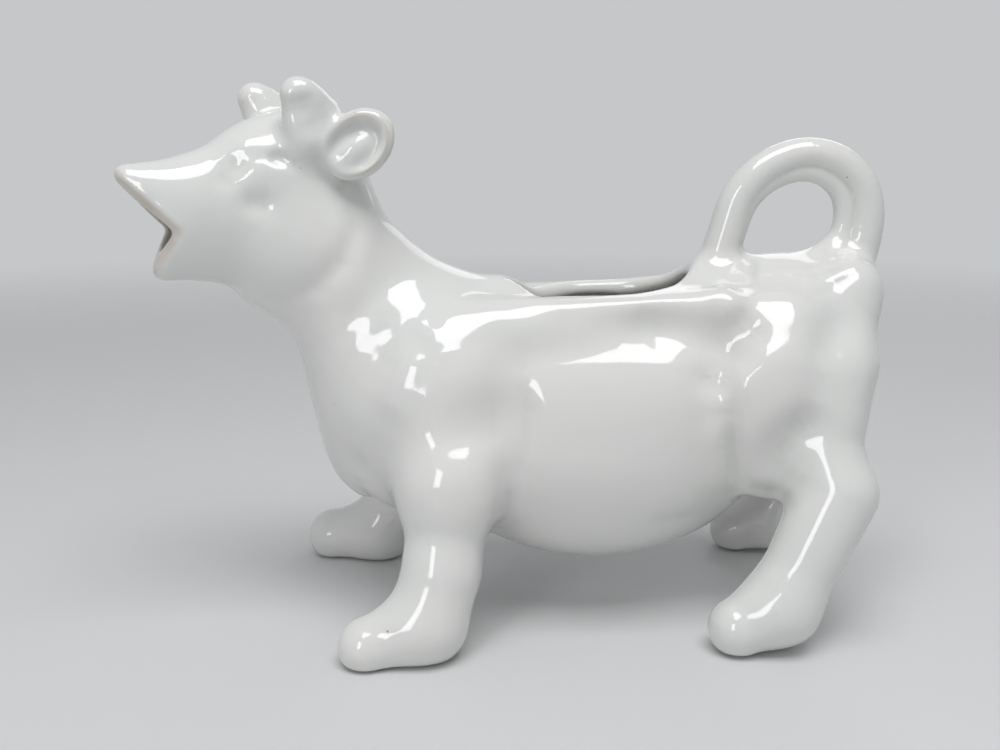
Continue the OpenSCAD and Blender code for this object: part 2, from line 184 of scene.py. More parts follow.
def near(p, lo, hi, margin):
    """Which columns of p are inside a box, or None."""
    inside = np.ones(p.shape[1], bool)
    for n in range(3):
        inside &= (p[n] > lo[n, 0] - margin) & (p[n] < hi[n, 0] + margin)
        if not inside.any():
            return None
    return inside


def union(masses, p):
    """The distance to a smooth union, exact near its skin."""
    distance = np.full(p.shape[1], FAR, np.float32)
    for mass in masses:
        inside = near(p, mass["lo"], mass["hi"], mass["blend"] + MARGIN)
        if inside is not None:
            distance[inside] = soft_min(distance[inside], mass_distance(mass, p[:, inside]), mass["blend"])
    return distance


def group(masses, p):
    """The union of a limb's masses, worked out only round the limb."""
    lo = np.min([mass["lo"] for mass in masses], 0)
    hi = np.max([mass["hi"] for mass in masses], 0)
    distance = np.full(p.shape[1], FAR, np.float32)
    inside = near(p, lo, hi, LEG_BLEND + MARGIN)
    if inside is not None:
        distance[inside] = union(masses, p[:, inside])
    return distance


# The masses of the torso: places, sizes or radii
TORSO = {
    "barrel": egg((14, 0, 40), (80, 54, 58), BODY_BLEND),
    "chest": egg((-20, 0, 46.5), (55, 48, 52), BODY_BLEND),
    "rump": egg((50, 0, 54), (49, 44, 49), BODY_BLEND),
    **pair("rib", lambda side: egg((18, side * 12.6, 51), (70, 24, 30))),
    "croup": egg((59.2, 0, 66), (30, 35, 25)),
    "back": egg((14, 0, 60.6), (80, 35, 25), pitch=-4),
    **pair("back_edge", lambda side: rod((-13.8, side * 13, 64.6), (38, side * 15, 69), 6, 4.6)),
    "loin": egg((31, 0, 64.6), (34, 31, 22)),
    "croup_top": rod((36, 0, 68.6), (57.6, 0, 69.2), 8.6, 9.5),
    "withers": rod((-22.8, 0, 65.9), (-5.4, 0, 65.7), 9.5, 9.5),
    "rump_corner": rod((68.6, -6.4, 72.4), (68.6, 6.4, 72.4), 6.2, 6.2),
    **pair("rump_side", lambda side: rod((68.6, side * 6.4, 72.4), (65.6, side * 12, 58.5), 6.2, 6.4)),
    "brisket": egg((-33, -1, 36.5), (25, 24, 23)),
    "neck": rod((-28, 0, 54), (-47, -3.2, 80.5), 20, 13.6, BODY_BLEND),
    "neck_side": egg((-40, -7, 80), (17, 19, 26)),
    "crest_top": rod((-40.2, -3.4, 87.4), (-34, -1.5, 76), 6.6, 8.6),
    "crest_foot": rod((-34, -1.5, 76), (-21, 0, 66), 8.6, 9.6),
}

# The masses of the head, in its own frame
SKULL = {
    "crown": egg((-3, 0, 6.1), (30, 23, 24), local=True),
    "cheeks": egg((-7, 0, -4.9), (30, 24, 38), local=True),
    "forehead": egg((-14, 0, 4.4), (31, 18, 19), pitch=-27, local=True),
    "muzzle": egg((-21, 0, -3.8), (34, 18, 22), local=True),
    "upper_lip": rod((-24, 0, 2.4), (-37.2, 0, 4.4), 5.5, 2.8, local=True),
    "upper_jaw": rod((-24, 0, -0.2), (-33.4, 0, 2), 5.8, 3.4, local=True),
    "lower_lip": rod((-22, 0, -10.3), (-30.6, 0, -12.4), 5, 3.4, local=True),
}

# The joints of a leg at the right: place, shares of the stride and of the sway, and radius
FRONT_LEG = {
    "shoulder": ((-18, 14, 51.8), 0, 0, 13),
    "elbow": ((-18.2, 21.8, 33.8), 0.2, 0, 10.4),
    "pastern": ((-19.9, 26.5, 17), 0.8, 0.3, 7.2),
    "heel": ((-23, 27.9, 7), 1, 0.8, 7.4),
    "toe": ((-35, 30, 3.5), 1, 1, 6),
}
HIND_LEG = {
    "hip": ((63, 15.4, 56), 0.2, 0, 8.8),
    "gaskin": ((60.4, 19.8, 41), 0.4, 0, 8.2),
    "hock": ((62.8, 24.6, 32.1), 0.8, 0, 8.2),
    "heel": ((50.8, 27.8, 9), 1, 1, 7.2),
    "toe": ((41.6, 29.2, 4.8), 1, 1, 6.2),
}
TOE_LIFT = 0.11
THIGH_AT = (51, 16.8, 50.4)
THIGH_SIZE = (32, 20, 44)
THIGH_PITCH = -8
THIGH_SHARE = 0.2


def leg_joints(joints, side, stride, sway):
    """The places and the radii of a leg's joints."""
    places = [(x + along * stride, side * y - across * sway, z)
              for (x, y, z), along, across, _ in joints.values()]
    return places, [radius for *_, radius in joints.values()]


def front_leg(side, stride):
    """The masses of a front leg. Its toe lifts as it strides out."""
    places, radii = leg_joints(FRONT_LEG, side, -stride, FRONT_SWAY)
    lift = stride * TOE_LIFT
    x, y, z = places[-1]
    places[-1] = (x, y, z + lift)
    radii[-1] += lift / 3
    return chain(places, radii)


def hind_leg(side, stride):
    """The masses of a hind leg: the thigh, and the rods above and below the hock."""
    places, radii = leg_joints(HIND_LEG, side, stride, HIND_SWAY)
    x, y, z = THIGH_AT
    thigh = egg((x + stride * THIGH_SHARE, side * y, z), THIGH_SIZE, pitch=THIGH_PITCH)
    return [thigh, *chain(places[:2], radii[:2]), *chain(places[2:], radii[2:])]


def on_crown(place, side):
    """A place on one side of the crown, which is turned a little further than the head."""
    x, y, z = place
    return CROWN_R @ np.array((x, side * y, z), float)


# The rods of a horn: root and top on the crown, and their radii
HORN_RODS = {
    "front": ((-4.2, 8.8, 11.6), (-7.4, 10.9, 20.9), 5.4, 3.6),
    "middle": ((-0.8, 8.6, 11.6), (-4.4, 10.3, 19.4), 5.4, 3.6),
    "rear": ((1.4, 8.2, 11.4), (-1.4, 9.4, 17), 4.8, 3.7),
}


def horn(side):
    """A blunt horn: three rods that fan down from its tip."""
    return [rod(on_crown(root, side), on_crown(top, side), root_r, top_r, HORN_BLEND, True)
            for root, top, root_r, top_r in HORN_RODS.values()]


# The right ear's middle, and the cup and lobe at offsets from it
EAR_AT = (3, 16, 11.2)
EAR_SIZE = (16.2, 6.6, 12.8)
EAR_PITCH = -42
EAR_YAW = 35
EAR_REACH = 11
CUP_OFFSET = (-1.8, 2.2, 0)
CUP_SIZE = (12.6, 7.4, 9.6)
LOBE_OFFSET = (-0.9, -1, -1.8)
LOBE_SIZE = (10, 4.6, 5.2)
LOBE_BLEND = 2.4


def ear_egg(side, size, offset=(0, 0, 0)):
    """An egg in an ear, turned as the ear is."""
    return egg(on_crown(np.add(EAR_AT, offset), side), size, HORN_BLEND, EAR_PITCH,
               side * EAR_YAW + CROWN_TWIST, True)


EARS = {side: ear_egg(side, EAR_SIZE) for side in SIDES}
EAR_CUPS = {side: ear_egg(side, CUP_SIZE, CUP_OFFSET) for side in SIDES}
EAR_LOBES = {side: ear_egg(side, LOBE_SIZE, LOBE_OFFSET) for side in SIDES}

# The tail's loop: its lower front, its length and height, and its course in shares of them
TAIL_AT = (43.2, 0, 72)
TAIL_LOOP = (29.1, 28.4)
TAIL_SHARES = [(-0.2, -0.14), (-0.09, 0.16), (0, 0.46), (0.07, 0.68), (0.204, 0.852), (0.393, 0.965),
               (0.596, 1), (0.8, 0.937), (0.951, 0.782), (1, 0.581), (0.975, 0.34), (0.9, 0.12),
               (0.84, -0.1)]
TAIL_STEPS = 44
# Along the tail: half its thickness, and the radii of its outer and inner strands
TAIL_HALF = (3.9, 4.0, 4.5, 5.3, 5.6)
TAIL_OUTER = (4.0, 3.6, 3.2, 3.9, 4.4)
TAIL_INNER = (1.2, 1.8, 1.9, 2.1, 2.4)
OUTER_BLEND = 0.8
INNER_BLEND = 1.0
# The web of clay between the tail's end and the croup
TAIL_WEB = rod((66, 0, 79.6), (58, 0, 75), 2.6, 1.6)


def smooth_path(points, steps):
    """Points evenly along a smooth curve through the given ones."""
    points = np.array(points, float)
    last = len(points) - 1
    out = []
    for place in np.linspace(0, last, steps + 1):
        i = min(last - 1, int(place))
        t = place - i
        p0, p1, p2, p3 = (points[min(last, max(0, j))] for j in (i - 1, i, i + 1, i + 2))
        out.append(0.5 * (2 * p1 + (p2 - p0) * t + (2 * p0 - 5 * p1 + 4 * p2 - p3) * t * t
                          + (3 * p1 - p0 - 3 * p2 + p3) * t ** 3))
    return np.array(out)


def tail():
    """The loop: a round outer strand with a thinner strand along its inside."""
    course = [(TAIL_AT[0] + a * TAIL_LOOP[0], TAIL_AT[2] + b * TAIL_LOOP[1]) for a, b in TAIL_SHARES]
    path = smooth_path(course, TAIL_STEPS)
    ahead = np.gradient(path, axis=0)
    ahead /= np.linalg.norm(ahead, axis=1)[:, None]
    inward = np.stack([ahead[:, 1], -ahead[:, 0]], 1)
    share = np.linspace(0, 1, len(path))
    half, outer_r, inner_r = (np.interp(share, np.linspace(0, 1, len(radii)), radii)
                              for radii in (TAIL_HALF, TAIL_OUTER, TAIL_INNER))
    outer = path - inward * (half - outer_r)[:, None]
    inner = path + inward * (half - inner_r)[:, None]
    return [*chain([(x, 0, z) for x, z in outer], outer_r, OUTER_BLEND),
            *chain([(x, 0, z) for x, z in inner], inner_r, INNER_BLEND),
            TAIL_WEB]


# The masses of each limb and how softly it joins the body, under the names of the CAD nodes
LIMBS = {
    "front_leg_left": (front_leg(-1, 0), LEG_BLEND),
    "front_leg_right": (front_leg(1, FRONT_STRIDE), LEG_BLEND),
    "hind_leg_left": (hind_leg(-1, 0), LEG_BLEND),
    "hind_leg_right": (hind_leg(1, HIND_STRIDE), LEG_BLEND),
    "horn_left": (horn(-1), HORN_BLEND),
    "horn_right": (horn(1), HORN_BLEND),
    "ear_left": ([EARS[-1]], HORN_BLEND),
    "ear_right": ([EARS[1]], HORN_BLEND),
    "tail_handle": (tail(), TAIL_BLEND),
}


def core(p):
    """The body without its limbs."""
    return soft_min(union(TORSO.values(), p), group(SKULL.values(), p), HEAD_BLEND)


def joined(p, body):
    """The body with its limbs, before its strokes and cuts."""
    distance = body.copy()
    for masses, blend in LIMBS.values():
        limb = group(masses, p)
        reach = limb < LEFT_OUT
        if reach.any():
            distance[reach] = soft_min(distance[reach], limb[reach], blend)
    return soft_max(distance, -p[2], SOLE_BLEND)


# The camera's rays are followed to the skin from this distance, in this many short steps
RAY_START = 150.0
RAY_STEPS = 60
RAY_SHARE = 0.8


def camera_basis():
    """The camera's right, up and ahead."""
    yaw, pitch = math.radians(CAMERA_YAW), math.radians(CAMERA_PITCH)
    level = math.cos(pitch)
    ahead = np.array([math.sin(yaw) * level, math.cos(yaw) * level, -math.sin(pitch)])
    right = np.array([math.cos(yaw), -math.sin(yaw), 0])
    return right, np.cross(right, ahead), ahead


def on_skin(pixels):
    """Where the rays through these pixels meet the cow."""
    right, up, ahead = camera_basis()
    across, down = ((np.array(pixels, float) - (PHOTO_W / 2, PHOTO_H / 2)) / FOCAL_PX).T
    rays = ahead + np.outer(across, right) - np.outer(down, up)
    rays /= np.linalg.norm(rays, axis=1)[:, None]
    start = np.array(CAMERA_AT, float)
    length = np.full(len(pixels), RAY_START)
    for _ in range(RAY_STEPS):
        p = (start + length[:, None] * rays).T.astype(np.float32)
        length += RAY_SHARE * np.clip(joined(p, core(p)), -4, 6)
    return start + length[:, None] * rays


# Strokes set on the skin where the photograph shows them: pixels along each, its height in
# millimetres, below zero for a hollow, its width in millimetres, and its mirror image, which is
# on the other side of the body or of the head, or left out
STROKES = {
    "neck_fold_top": ([(330, 352), (352, 322), (377, 297)], -0.42, 2.9, "body"),
    "neck_fold_middle": ([(344, 373), (370, 345), (397, 320)], -0.42, 2.9, "body"),
    "neck_fold_low": ([(359, 391), (385, 362), (412, 336)], -0.42, 2.9, "body"),
    "neck_muscle": ([(421, 332), (408, 365), (394, 402), (384, 428)], 1.0, 3.8, "body"),
    "blade_edge": ([(424, 328), (436, 338), (443, 354)], 0.7, 2.4, "body"),
    "chest_line": ([(355, 440), (362, 480)], -0.6, 2.5, "body"),
    "chest_notch": ([(358, 484), (372, 500), (390, 513)], -0.9, 1.8, "left out"),
    "blade_bulge": ([(445, 312), (468, 325), (480, 345)], 1.2, 9, "body"),
    "shoulder_hollow": ([(466, 424), (492, 420)], -1.3, 6.2, "body"),
    "elbow_ridge": ([(458, 470), (486, 458), (512, 440)], 0.6, 4.4, "body"),
    "rib_crease": ([(524, 372), (527, 410), (525, 466)], -0.7, 2.2, "body"),
    "back_ridge": ([(480, 300), (560, 306), (640, 304), (708, 301)], 0.8, 2.4, "body"),
    "back_groove": ([(610, 326), (660, 324), (712, 321)], -2.4, 3.8, "body"),
    "hip_bone": ([(722, 296), (730, 302)], 1.3, 3.8, "body"),
    "flank_hollow": ([(766, 308), (750, 330), (730, 350), (718, 378), (720, 410)], -3.6, 4.2, "body"),
    "hip_hollow": ([(762, 322), (788, 328), (812, 330)], -0.6, 5, "body"),
    "thigh_front": ([(743, 356), (739, 407)], 0.9, 2.6, "body"),
    "thigh_swell": ([(775, 370), (772, 430)], 1.0, 9, "body"),
    "thigh_groove": ([(849, 304), (843, 322), (827, 348), (824, 372)], -1.0, 4.4, "body"),
    "thigh_under": ([(818, 398), (806, 424), (780, 444), (752, 450)], -1.3, 4.4, "body"),
    "rear_muscle": ([(861, 345), (862, 375), (856, 412)], 0.5, 5, "body"),
    "thigh_hollow": ([(800, 440), (780, 462)], -1.6, 5, "body"),
    "thigh_fold": ([(745, 484), (768, 492), (790, 505)], -0.8, 2, "body"),
    "belly_crease": ([(728, 416), (730, 450), (736, 490)], -1.5, 2.2, "body"),
    "croup_fold": ([(862, 270), (838, 283), (812, 296)], -0.35, 1.3, "left out"),
    "croup_fold_high": ([(856, 263), (832, 270), (800, 277)], -0.25, 1.2, "left out"),
    "tail_root_crease": ([(742, 246), (752, 260), (756, 282)], -0.8, 1.4, "left out"),
    "horn_valley": ([(293, 86), (301, 105), (309, 121)], -1.4, 3, "head"),
    "brow": ([(212, 168), (226, 157), (246, 149), (272, 149), (292, 154)], 0.45, 2.6, "head"),
    "socket_front": ([(226, 176), (236, 163), (250, 156)], -0.8, 2.6, "head"),
    "socket_back": ([(262, 156), (277, 158), (292, 163)], -1.1, 1.4, "head"),
    "eye": ([(256, 168), (262, 169)], 0.3, 3.2, "head"),
    "cheek_dimple": ([(253, 203), (261, 204)], -0.8, 2.5, "head"),
    "jaw_fold": ([(352, 196), (354, 230), (342, 262), (318, 286), (284, 301)], -0.8, 2.6, "head"),
    "jaw_swell": ([(300, 220), (290, 260)], 0.6, 9, "head"),
    "ear_hollow": ([(312, 138), (316, 160), (336, 186)], -0.7, 2.6, "head"),
}
# How far a stroke reaches, in widths, how much a long one fades at its ends, and how sharply
# its stretches give way to each other
STROKE_REACH = 2.4
STROKE_FADE = 0.75
STROKE_POWER = 6
MIRROR = (1, -1, 1)


def with_mirror_image(path, twin):
    """The path, and its mirror image where it has one."""
    if twin == "body":
        return [path, path * MIRROR]
    if twin == "head":
        local = (path - HEAD_AT) @ HEAD_R
        return [path, (local * MIRROR) @ HEAD_R.T + HEAD_AT]
    return [path]


def stroke(path, height, width):
    """A stroke with its bounds. One that is short for its width fades less at its ends."""
    run = np.linalg.norm(np.diff(path, axis=0), axis=1).sum()
    return {"path": path, "height": height, "width": width,
            "lo": path.min(0)[:, None], "hi": path.max(0)[:, None],
            "fade": STROKE_FADE * min(1, run / (4 * width)) ** 2}


def stroke_relief():
    """Every stroke, and its mirror image, on the skin."""
    counts = [len(pixels) for pixels, *_ in STROKES.values()]
    places = on_skin([pixel for pixels, *_ in STROKES.values() for pixel in pixels])
    paths = np.split(places, np.cumsum(counts)[:-1])
    return [stroke(copy, height, width)
            for path, (_, height, width, twin) in zip(paths, STROKES.values())
            for copy in with_mirror_image(path, twin)]


RELIEF = stroke_relief()


def stroke_share(line, p):
    """A stroke's share of its height: 1 along its middle, and 0 beyond its reach."""
    path, width, fade = line["path"], line["width"], line["fade"]
    total = np.zeros(p.shape[1], np.float32)
    for i, (start, end) in enumerate(zip(path[:-1], path[1:])):
        along = column(end - start)
        q = p - column(start)
        share = np.clip((along * q).sum(0) / (along * along).sum(), 0, 1)
        q -= share * along
        to_end = (2 * (i + share) / (len(path) - 1) - 1) ** 2
        fall = np.exp(-(q * q).sum(0) / width ** 2) - math.exp(-STROKE_REACH ** 2)
        total += (np.maximum(fall, 0) * (1 - fade * to_end * (2 - to_end))) ** STROKE_POWER
    return total ** (1 / STROKE_POWER)


def relief(p):
    """How far the strokes raise the skin."""
    total = np.zeros(p.shape[1], np.float32)
    for line in RELIEF:
        inside = near(p, line["lo"], line["hi"], line["width"] * STROKE_REACH)
        if inside is not None:
            total[inside] += line["height"] * stroke_share(line, p[:, inside])
    return total


def seat(p):
    """The body's own skin, under the limbs and sunk wherever a stroke hollows it."""
    return core(p) - np.minimum(relief(p), 0)


# The filling opening, which narrows towards the neck, and the bottom of its cut
OPENING_AT = (14.8, 0)
OPENING_SIZE = (39.4, 25)
OPENING_TAPER = 0.6
OPENING_BOTTOM = 58
OPENING_BLEND = 2


def opening(p):
    """The oval cut through the back."""
    q = p[:2] - np.array(OPENING_AT, np.float32)[:, None]
    half = np.array(OPENING_SIZE, np.float32)[:, None] / 2
    forward = np.clip(-q[0] / half[0], 0, 1)
    q[1] *= 1 + OPENING_TAPER * forward ** 2
    return soft_max(egg_distance(q, half), OPENING_BOTTOM - p[2], OPENING_BLEND)


# The mouth, in the head's own frame: its corner, and how far it gapes from the level
MOUTH_CORNER = (-29.6, 0, -5.9)
GAPE_UP = 45
GAPE_DOWN = 60
MUZZLE_BOX = (column((-95, -40, 70)), column((-60, 10, 105)))
LIP_BEVEL = 1.2
LIP_ROUND = 0.6
# The inner edge is rounded this much, and this much less at the end of the snout
RIM_ROUND = 2.6
LIP_SHARPER = 1.7
SNOUT_START = -16
SNOUT_LENGTH = 14


def mouth(p):
    """The wedge between the lips."""
    q = to_head(p) - column(MOUTH_CORNER)
    up, down = math.radians(GAPE_UP), math.radians(GAPE_DOWN)
    above = q[0] * math.sin(up) + q[2] * math.cos(up)
    below = q[0] * math.sin(down) - q[2] * math.cos(down)
    return soft_max(above, below, CUT_BLEND)


def with_mouth(skin, p):
    """The skin with the mouth cut out of it, between bevelled lips."""
    inside = near(p, *MUZZLE_BOX, 0)
    if inside is not None:
        side, cut = skin[inside], -mouth(p[:, inside])
        bevel = (side + cut + LIP_BEVEL) * math.sqrt(0.5)
        skin[inside] = soft_max(soft_max(side, cut, LIP_ROUND), bevel, LIP_ROUND)
    return skin


def with_ear_cups(skin, p):
    """The skin with a cup in each ear, where a soft lobe is left standing."""
    for side in SIDES:
        middle = EARS[side]["centre"]
        inside = near(p, middle, middle, EAR_REACH)
        if inside is not None:
            q = p[:, inside]
            lobe = mass_distance(EAR_LOBES[side], q)
            cup = soft_max(mass_distance(EAR_CUPS[side], q), -lobe, LOBE_BLEND)
            skin[inside] = soft_max(skin[inside], -cup, CUT_BLEND)
    return skin


def skin_and_hollow(p):
    """The distances to the outer skin, before the mouth is cut, and to the hollow inside it."""
    body = core(p)
    raised = relief(p)
    chamber = body + WALL - np.minimum(raised, 0)
    skin = with_ear_cups(joined(p, body) - raised, p)
    return skin, soft_min(chamber, opening(p), CUT_BLEND)


def cow(p):
    """The distance to the finished skin."""
    skin, hollow = skin_and_hollow(p)
    snout = np.clip((to_head(p)[0] - SNOUT_START) / -SNOUT_LENGTH, 0, 1)
    return soft_max(with_mouth(skin, p), -hollow, RIM_ROUND - LIP_SHARPER * snout)


# The grid: its whole stretch along each axis, and the fine stretch over the head, none across
GRID = {
    "x": ((-87, 86), (-87, -28)),
    "y": ((-40, 40), (0, 0)),
    "z": ((-2.5, 119), (74, 119)),
}
FINE = 0.62
COARSE = 0.8
BLOCK = 4
# A block is worked out where the skin is within this many block lengths of a corner
NEAR_SKIN = 1.25
CHUNK = 60000
# Half the stretch over which a slope is measured, the rounds that even out the mesh, and the
# longest step to the skin in each round and at the end
SLOPE_STEP = 0.3
SETTLE_ROUNDS = 2
SETTLE_STEP = 0.5
LAST_STEP = 0.3
# The corners of a cell, and the cells round a grid edge along each axis, in a quad's order
CORNERS = [(i, j, k) for i in (0, 1) for j in (0, 1) for k in (0, 1)]
CELLS_ROUND = [
    [(0, 0, 0), (0, -1, 0), (0, -1, -1), (0, 0, -1)],
    [(0, 0, 0), (0, 0, -1), (-1, 0, -1), (-1, 0, 0)],
    [(0, 0, 0), (-1, 0, 0), (-1, -1, 0), (0, -1, 0)],
]


def grid_axis(whole, fine):
    """Grid places along an axis, closer together inside the fine stretch."""
    places = [whole[0]]
    while places[-1] < whole[1]:
        places.append(places[-1] + (FINE if fine[0] < places[-1] < fine[1] else COARSE))
    extra = (-(len(places) - 1)) % BLOCK
    places += [places[-1] + COARSE * (i + 1) for i in range(extra)]
    return np.array(places, np.float32)


def in_chunks(field, points):
    """The field at the rows of points."""
    p = np.ascontiguousarray(points.T, np.float32)
    return np.concatenate([field(p[:, i:i + CHUNK].copy()) for i in range(0, p.shape[1], CHUNK)])


def block_corners(field, axes):
    """The field at the eight corners of each block of the grid."""
    rough = [axis[::BLOCK] for axis in axes]
    places = np.stack(np.meshgrid(*rough, indexing="ij"), -1)
    value = in_chunks(field, places.reshape(-1, 3)).reshape(places.shape[:3])
    nx, ny, nz = np.array(value.shape) - 1
    return np.stack([value[i:nx + i, j:ny + j, k:nz + k] for i, j, k in CORNERS])


def each_cell(blocks):
    """The value of each block, repeated for its cells."""
    return blocks.repeat(BLOCK, 0).repeat(BLOCK, 1).repeat(BLOCK, 2)


def sample(field, axes):
    """Values of the field on the grid, worked out only in blocks near its skin."""
    corners = block_corners(field, axes)
    sign = np.where(corners[0] < 0, -9, 9).astype(np.float32)
    grid = np.pad(each_cell(sign), ((0, 1),) * 3, mode="edge")
    chosen = each_cell(np.abs(corners).min(0) < BLOCK * COARSE * NEAR_SKIN)
    nx, ny, nz = chosen.shape
    mask = np.zeros(grid.shape, bool)
    for i, j, k in CORNERS:
        mask[i:nx + i, j:ny + j, k:nz + k] |= chosen
    where = np.nonzero(mask)
    grid[where] = in_chunks(field, np.stack([axis[spots] for axis, spots in zip(axes, where)], 1))
    return grid


def surface_net(grid, axes):
    """Quads on the zero level of the grid, one vertex in each cell that it crosses."""
    shape = np.array(grid.shape)
    places, quads = [], []
    for n in range(3):
        lower = np.take(grid, range(shape[n] - 1), n)
        upper = np.take(grid, range(1, shape[n]), n)
        where = np.stack(np.nonzero((lower < 0) != (upper < 0)), 1)
        a = lower[tuple(where.T)]
        b = upper[tuple(where.T)]
        spot = np.stack([axes[m][where[:, m]] for m in range(3)], 1)
        spot[:, n] += a / (a - b) * (axes[n][where[:, n] + 1] - axes[n][where[:, n]])
        ring = np.stack([np.ravel_multi_index(tuple((where + off).T), shape) for off in CELLS_ROUND[n]], 1)
        ring[a > 0] = ring[a > 0][:, ::-1]
        places.append(np.repeat(spot, 4, 0))
        quads.append(ring)
    places = np.concatenate(places)
    quads = np.concatenate(quads)
    cells, index = np.unique(quads.reshape(-1), return_inverse=True)
    index = index.reshape(-1)
    count = np.bincount(index)
    points = np.stack([np.bincount(index, places[:, m]) / count for m in range(3)], 1)
    return points, np.searchsorted(cells, quads)


def slope(field, points):
    """The field at the points, its gradient, and the bend of its level there."""
    here = in_chunks(field, points)
    gradient = np.zeros((len(points), 3))
    bend = -6.0 * here
    for n in range(3):
        shift = np.zeros(3)
        shift[n] = SLOPE_STEP
        ahead = in_chunks(field, points + shift)
        behind = in_chunks(field, points - shift)
        gradient[:, n] = (ahead - behind) / (2 * SLOPE_STEP)
        bend += ahead + behind
    return here, gradient, bend / SLOPE_STEP ** 2 / 2


def unit_rows(v):
    return v / np.maximum(np.linalg.norm(v, axis=1), 1e-6)[:, None]


def relax(points, faces):
    """Evens out the mesh: each vertex moves halfway to the mean of its neighbours."""
    a = faces.reshape(-1)
    b = np.roll(faces, -1, 1).reshape(-1)
    total = len(points)
    count = np.maximum(np.bincount(a, minlength=total) + np.bincount(b, minlength=total), 1)
    mean = np.stack([(np.bincount(a, points[b, m], total) + np.bincount(b, points[a, m], total)) / count
                     for m in range(3)], 1)
    return points + 0.5 * (mean - points)


def settle(points, faces):
    """Evens out the mesh and keeps it on the skin. Returns places, normals and the bend."""
    _, gradient, _ = slope(cow, points)
    way = unit_rows(gradient)
    for _ in range(SETTLE_ROUNDS):
        points = relax(points, faces)
        points = points - np.clip(in_chunks(cow, points), -SETTLE_STEP, SETTLE_STEP)[:, None] * way
    here, gradient, bend = slope(cow, points)
    way = unit_rows(gradient)
    return points - np.clip(here, -LAST_STEP, LAST_STEP)[:, None] * way, way, bend


def main_patch(faces, chosen):
    """Of the chosen faces, those in the largest connected patch."""
    rows = np.nonzero(chosen)[0]
    used, local = np.unique(faces[rows], return_inverse=True)
    local = local.reshape(-1, 4)
    label = np.arange(len(used))
    while True:
        low = label[local].min(1)
        new = label.copy()
        for n in range(4):
            np.minimum.at(new, local[:, n], low)
        new = new[new]
        if (new == label).all():
            break
        label = new
    patches = label[local[:, 0]]
    out = np.zeros(len(faces), bool)
    out[rows[patches == np.bincount(patches).argmax()]] = True
    return out


def open_edges(faces):
    """The edges that no neighbour shares: where each vertex leads, in the faces' own direction."""
    a = faces.reshape(-1).astype(np.int64)
    b = np.roll(faces, -1, 1).reshape(-1).astype(np.int64)
    size = int(max(a.max(), b.max())) + 1
    edges, count = np.unique(a * size + b, return_counts=True)
    twins, twin_count = np.unique(b * size + a, return_counts=True)
    spot = np.minimum(np.searchsorted(twins, edges), len(twins) - 1)
    spare = count - np.where(twins[spot] == edges, twin_count[spot], 0)
    follow = {}
    for edge, times in zip(edges[spare > 0].tolist(), spare[spare > 0].tolist()):
        follow.setdefault(edge // size, []).extend([edge % size] * times)
    return follow


def boundary_loops(faces):
    """Closed loops of vertices along the open edges."""
    follow = open_edges(faces)
    loops = []
    while follow:
        start = next(iter(follow))
        loop, at = [start], start
        while True:
            step = follow[at].pop()
            if not follow[at]:
                del follow[at]
            if step == start:
                break
            loop.append(step)
            at = step
        loops.append(loop)
    return loops


# A hidden cap: its rings, how far it lies inside the body's skin, or outside it under a limb,
# and the rounds and the longest step that bring it there
CAP_RINGS = 6
CAP_DEPTH = 0.12
CAP_ROUNDS = 4
CAP_STEP = 2.0
# The flattest slope that a step to the seat is worked out with
LEAST_SLOPE = 0.5


def onto_seat(points, level):
    """Moves the points onto a level of the seat, along its slope."""
    for _ in range(CAP_ROUNDS):
        here, gradient, _ = slope(seat, points)
        square = np.maximum((gradient ** 2).sum(1), LEAST_SLOPE ** 2)
        step = ((here - level) / square)[:, None] * gradient
        size = np.linalg.norm(step, axis=1)[:, None]
        points = points - step * np.minimum(1, CAP_STEP / np.maximum(size, 1e-9))
    return points


def with_caps(points, faces, level):
    """Closes each open loop with a hidden skin that follows the body's own form."""
    caps = []
    for loop in boundary_loops(faces):
        edge = points[loop]
        centre = edge.mean(0)
        rings = [loop]
        for ring in range(1, CAP_RINGS):
            share = 1 - ring / CAP_RINGS
            inner = onto_seat(centre + share * (edge - centre), level)
            rings.append(list(range(len(points), len(points) + len(loop))))
            points = np.concatenate([points, inner])
        points = np.concatenate([points, onto_seat(centre[None], level)])
        middle = len(points) - 1
        sides = [(i, (i + 1) % len(loop)) for i in range(len(loop))]
        for low, high in zip(rings[:-1], rings[1:]):
            for i, j in sides:
                caps += [(low[j], low[i], high[i]), (low[j], high[i], high[j])]
        caps += [(rings[-1][j], rings[-1][i], middle) for i, j in sides]
    return points, np.array(caps, int).reshape(-1, 3)


def add_object(name, data):
    """A new object in the scene."""
    thing = bpy.data.objects.new(name, data)
    bpy.context.scene.collection.objects.link(thing)
    return thing


def piece_mesh(name, skin, quads, level):
    """One piece of the skin as a closed mesh, with the field's own normals."""
    used, local = np.unique(quads, return_inverse=True)
    local = local.reshape(-1, 4)
    shown = len(used)
    points, caps = with_caps(skin["points"][used], local, level)
    faces = local.tolist() + caps.tolist()
    mesh = bpy.data.meshes.new(name)
    mesh.from_pydata(to_frame(points).tolist(), [], faces)
    mesh.polygons.foreach_set("use_smooth", [True] * len(faces))
    # Thin and pooled glaze, with painted shade in the hollows and along the lips
    for label in ("thin_glaze_and_lip_shade", "pooled_glaze_and_shade"):
        values = np.zeros(len(points), np.float32)
        values[:shown] = skin[label][used]
        mesh.attributes.new(label, "FLOAT", "POINT").data.foreach_set("value", values)
    mesh.update()
    normals = np.zeros(len(points) * 3)
    mesh.vertices.foreach_get("normal", normals)
    normals = normals.reshape(-1, 3)
    normals[:shown] = skin["normals"][used]
    mesh.normals_split_custom_set_from_vertices(normals.tolist())
    return mesh


def build_piece(name, skin, quads, level, material):
    """The piece that stands for one CAD node."""
    mesh = piece_mesh(name, skin, quads, level)
    mesh.materials.append(material)
    piece = add_object(name + "_glazed", mesh)
    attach(piece, "root")
    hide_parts(name)


